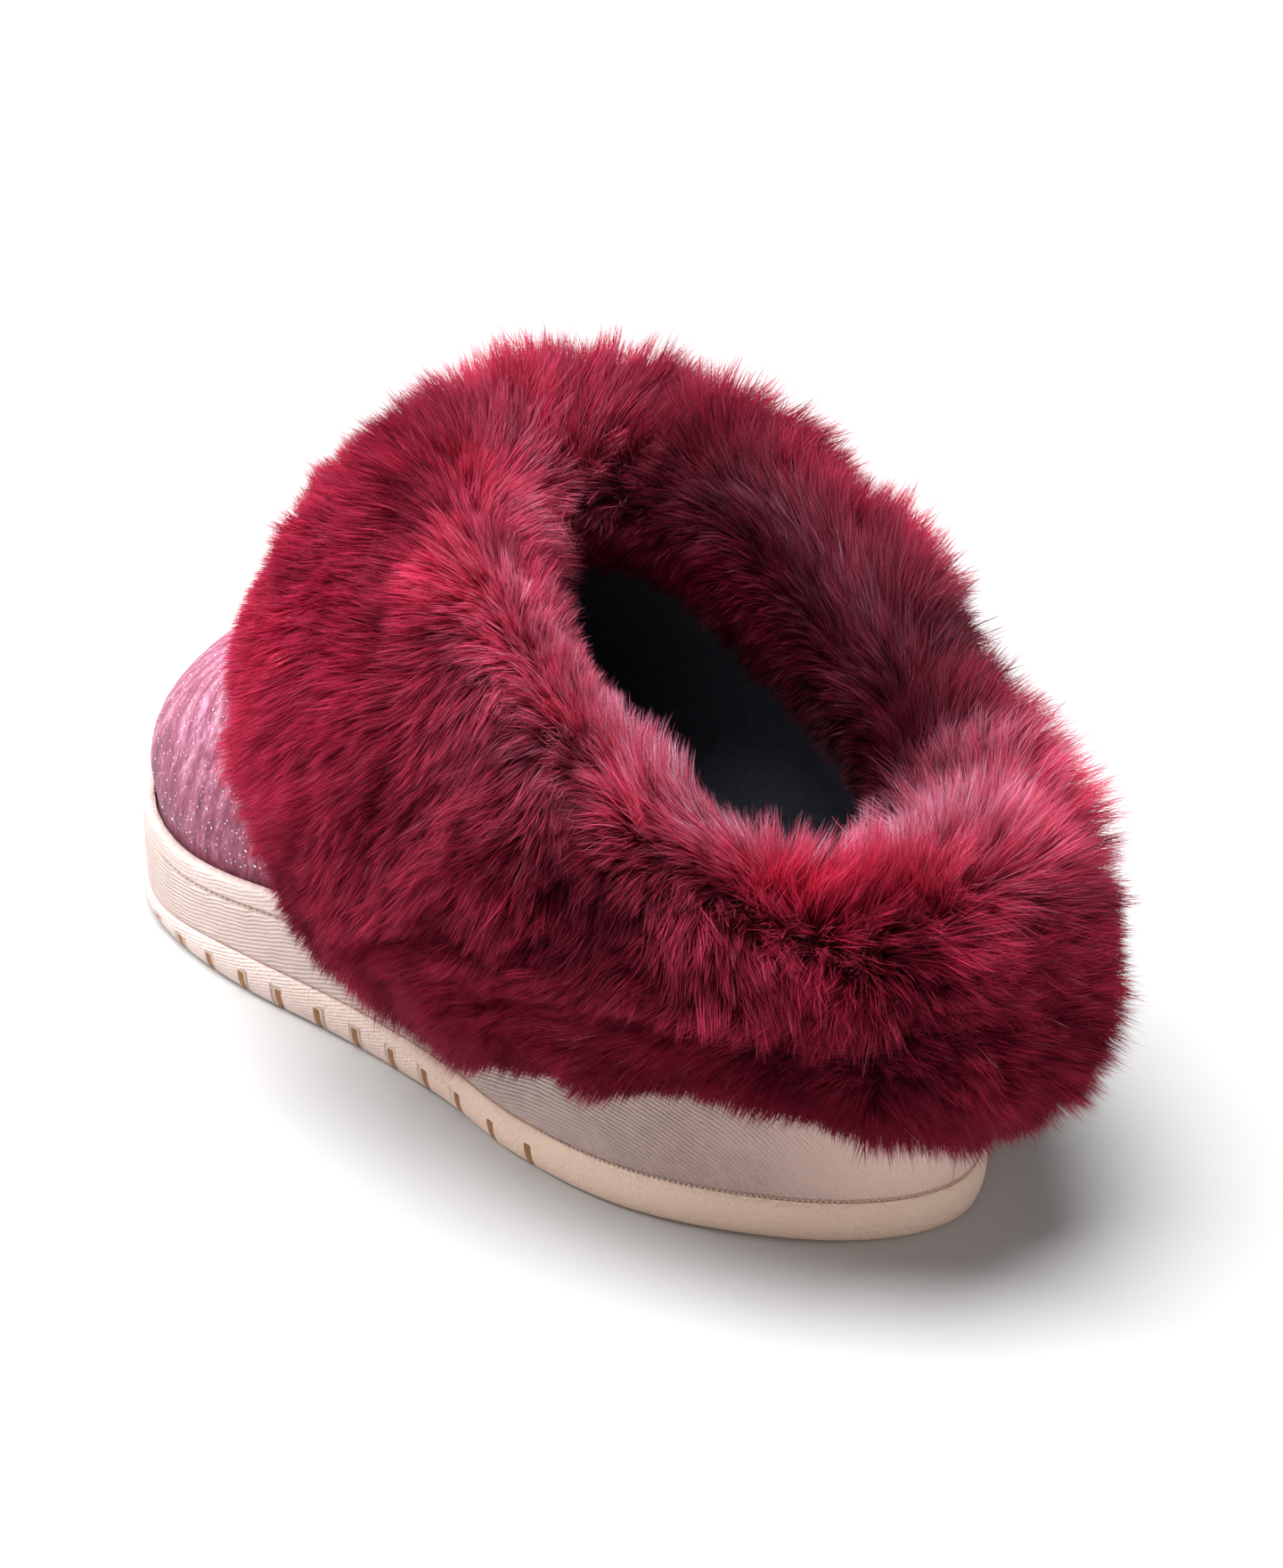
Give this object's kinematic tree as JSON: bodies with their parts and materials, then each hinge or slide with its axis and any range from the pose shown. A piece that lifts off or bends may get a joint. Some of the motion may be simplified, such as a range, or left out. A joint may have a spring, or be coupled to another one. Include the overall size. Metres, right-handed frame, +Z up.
{
  "type": "clog slipper",
  "caption": "Closed-toe clog slipper for the left foot: cup sole with a slitted rim, low-backed upper, and a deep faux-fur cuff that rolls over the collar and lines the mouth.",
  "frame": {"origin": "on the flat tread at floor level, 131 mm in front of the heel's end, on the line between heel and toe", "axes": "+Y towards the toe, +Z up, -X towards the lateral side"},
  "size_m": [0.1468, 0.2683, 0.146],
  "materials": {
    "sole_rubber": "pale peach rubber, matt, lightly grained",
    "ribbed_wall": "pale peach rubber with fine ribs",
    "footbed": "near-black brushed lining",
    "glitter_fabric": "ribbed pink velvet with glitter",
    "burgundy_fur": "long-pile burgundy faux fur"
  },
  "bodies": {
    "root": {"outsole": "sole_rubber", "sidewall": "ribbed_wall", "insole": "footbed", "upper": "glitter_fabric", "fur_cuff": "burgundy_fur"}
  },
  "joints": []
}
